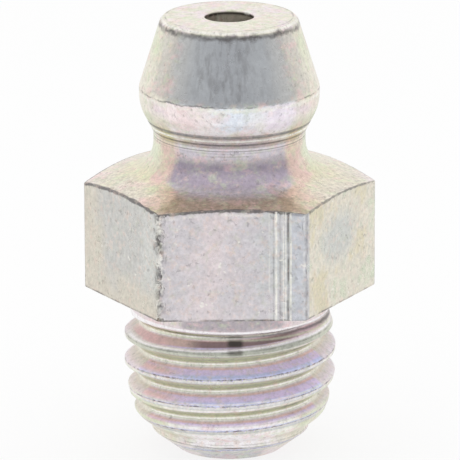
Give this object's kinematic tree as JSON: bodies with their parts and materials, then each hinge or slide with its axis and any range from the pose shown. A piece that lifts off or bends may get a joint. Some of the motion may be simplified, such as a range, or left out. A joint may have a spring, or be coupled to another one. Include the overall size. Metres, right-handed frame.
{
  "type": "grease nipple",
  "caption": "Straight cone-head grease nipple with a hexagon, a fine rolled thread and a spring-loaded check ball.",
  "frame": {"origin": "centre of the flat tip at the threaded end, on the nipple's axis", "axes": "+Z along the axis, out of the head; two flats of the hexagon face -Y and +Y and two corners lie on X"},
  "size_m": [0.0104, 0.009, 0.0158],
  "materials": {
    "plated_steel": "bright zinc plate with a thin iridescent passivation, satin, turning marks and small pits",
    "polished_steel": "polished bearing steel",
    "spring_steel": "drawn spring wire"
  },
  "bodies": {
    "fitting": {"nipple_body": "plated_steel", "valve_spring": "spring_steel"},
    "ball": {"check_ball": "polished_steel"}
  },
  "joints": [
    {"name": "ball_lift", "type": "slide", "parent": "fitting", "child": "ball", "axis": [0, 0, -1], "range_m": [0, 0.001], "stiffness_N_per_m": 200, "springref_m": -0.0015, "deforming": ["valve_spring"]}
  ]
}
